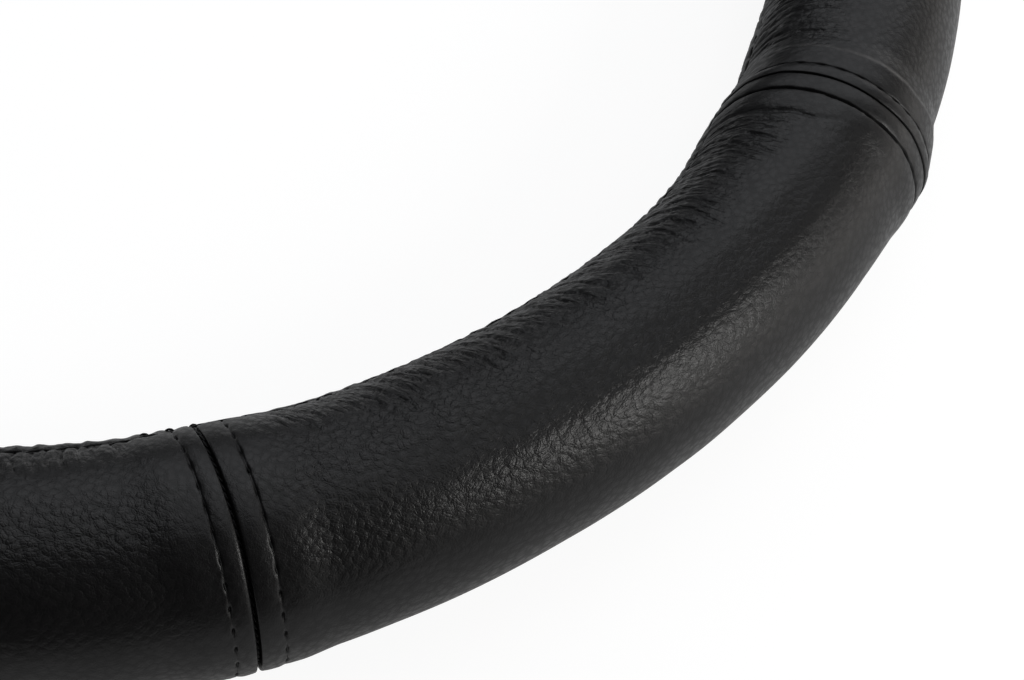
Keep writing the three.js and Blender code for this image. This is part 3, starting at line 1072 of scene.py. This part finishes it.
def table_finish():
    finish, tree, shader = new_finish("white table")
    tree.nodes.remove(shader)
    matt = add_node(tree, "ShaderNodeBsdfDiffuse", {"Color": WHITE}).outputs[0]
    glow = {"Color": (1, 1, 1, 1), "Strength": 1.1}
    glow = add_node(tree, "ShaderNodeEmission", glow).outputs[0]
    rays = add_node(tree, "ShaderNodeLightPath").outputs
    mirrored = reckon(tree, "MAXIMUM", rays["Is Glossy Ray"], rays["Is Transmission Ray"])
    share = reckon(tree, "MULTIPLY", mirrored, TABLE_MIRRORED)
    share = reckon(tree, "MULTIPLY_ADD", rays["Is Camera Ray"], TABLE_SEEN, share)
    mix = add_node(tree, "ShaderNodeMixShader", {0: share, 1: matt, 2: glow})
    tree.links.new(mix.outputs[0], tree.nodes["Material Output"].inputs["Surface"])
    return finish


corners = [(-1, -1), (1, -1), (1, 1), (-1, 1)]
corners = [(x * TABLE_REACH, y * TABLE_REACH, TABLE_HEIGHT) for x, y in corners]
mesh = bpy.data.meshes.new("table")
mesh.from_pydata(corners, [], [(0, 1, 2, 3)])
mesh.materials.append(table_finish())
table = bpy.data.objects.new("table", mesh)
bpy.context.scene.collection.objects.link(table)

world = bpy.data.worlds.new("studio")
world.use_nodes = True
bpy.context.scene.world = world
tree = world.node_tree
dim = add_node(tree, "ShaderNodeBackground", {"Color": (1, 1, 1, 1), "Strength": 0.02})
bright = add_node(tree, "ShaderNodeBackground", {"Color": (1, 1, 1, 1), "Strength": 1.0})
seen = add_node(tree, "ShaderNodeLightPath").outputs["Is Camera Ray"]
mix = add_node(tree, "ShaderNodeMixShader", {0: seen, 1: dim.outputs[0], 2: bright.outputs[0]})
tree.links.new(mix.outputs[0], tree.nodes["World Output"].inputs["Surface"])


def lamp(name, azimuth, elevation, width, depth, power, colour):
    """A soft lamp that faces the seen part of the ring from a direction in degrees."""
    a, e = math.radians(azimuth), math.radians(elevation)
    away = Vector((math.cos(a) * math.cos(e), math.sin(a) * math.cos(e), math.sin(e)))
    light = bpy.data.lights.new(name, "AREA")
    light.shape, light.size, light.size_y = "RECTANGLE", width, depth
    light.energy, light.color = power, colour
    made = bpy.data.objects.new(name, light)
    made.location = LAMP_TARGET + away * LAMP_DISTANCE
    made.rotation_mode = "QUATERNION"
    made.rotation_quaternion = away.to_track_quat("Z", "Y")
    bpy.context.scene.collection.objects.link(made)


lamp("lamp behind", 64, 35, 2.0, 1.0, 7.0, COOL)
lamp("lamp above", 70, 70, 1.2, 1.2, 5.3, PALE)
lamp("lamp at the back left", 118, 38, 1.2, 0.8, 0.9, COOL)
lamp("lamp in front", -29, 33, 0.7, 0.5, 4.1, NEUTRAL)
lamp("second lamp in front", -38, 34, 0.45, 0.45, 3.8, NEUTRAL)
lamp("high lamp in front", -29, 52, 0.8, 0.8, 1.4, NEUTRAL)
lamp("low lamp in front", -50, 16, 1.2, 0.5, 1.5, SOFT)
lamp("low lamp at the right", -20, 7, 1.4, 0.3, 2.6, WARM)
lamp("lamp at the right", 22, 14, 1.0, 0.6, 1.4, WARM)

# Camera. It stands over the near side of the ring, close above it and rolled to its left, so
# that one whole panel and its two seams run across the picture. It stands at a distance and a
# height counted in ring radii, and turned aside from the first seam.

PICTURE_WIDTH = 1024
FOCAL_LENGTH = 1500
SENSOR_WIDTH = 36.0
distance = 1.4846 * RING_RADIUS
height = 1.2462 * RING_RADIUS + CENTRE_HEIGHT
aside = math.radians(-4.04)
pan, tilt, roll = 0.5139 - aside, 1.0332, 0.3157
ahead = math.cos(tilt)
forward = Vector((math.sin(pan) * ahead, math.cos(pan) * ahead, -math.sin(tilt)))
level_right = Vector((math.cos(pan), -math.sin(pan), 0))
level_up = level_right.cross(forward)
right = math.cos(roll) * level_right + math.sin(roll) * level_up
up = -math.sin(roll) * level_right + math.cos(roll) * level_up
place = Vector((distance * math.sin(aside), -distance * math.cos(aside), height))
lens = bpy.data.cameras.new("camera")
lens.sensor_fit, lens.sensor_width = "HORIZONTAL", SENSOR_WIDTH
lens.lens = FOCAL_LENGTH / PICTURE_WIDTH * SENSOR_WIDTH
camera = bpy.data.objects.new("camera", lens)
camera.matrix_world = Matrix.Translation(place) @ Matrix((right, up, -forward)).transposed().to_4x4()
bpy.context.scene.collection.objects.link(camera)
bpy.context.scene.camera = camera
bpy.context.scene.view_settings.view_transform = "Standard"
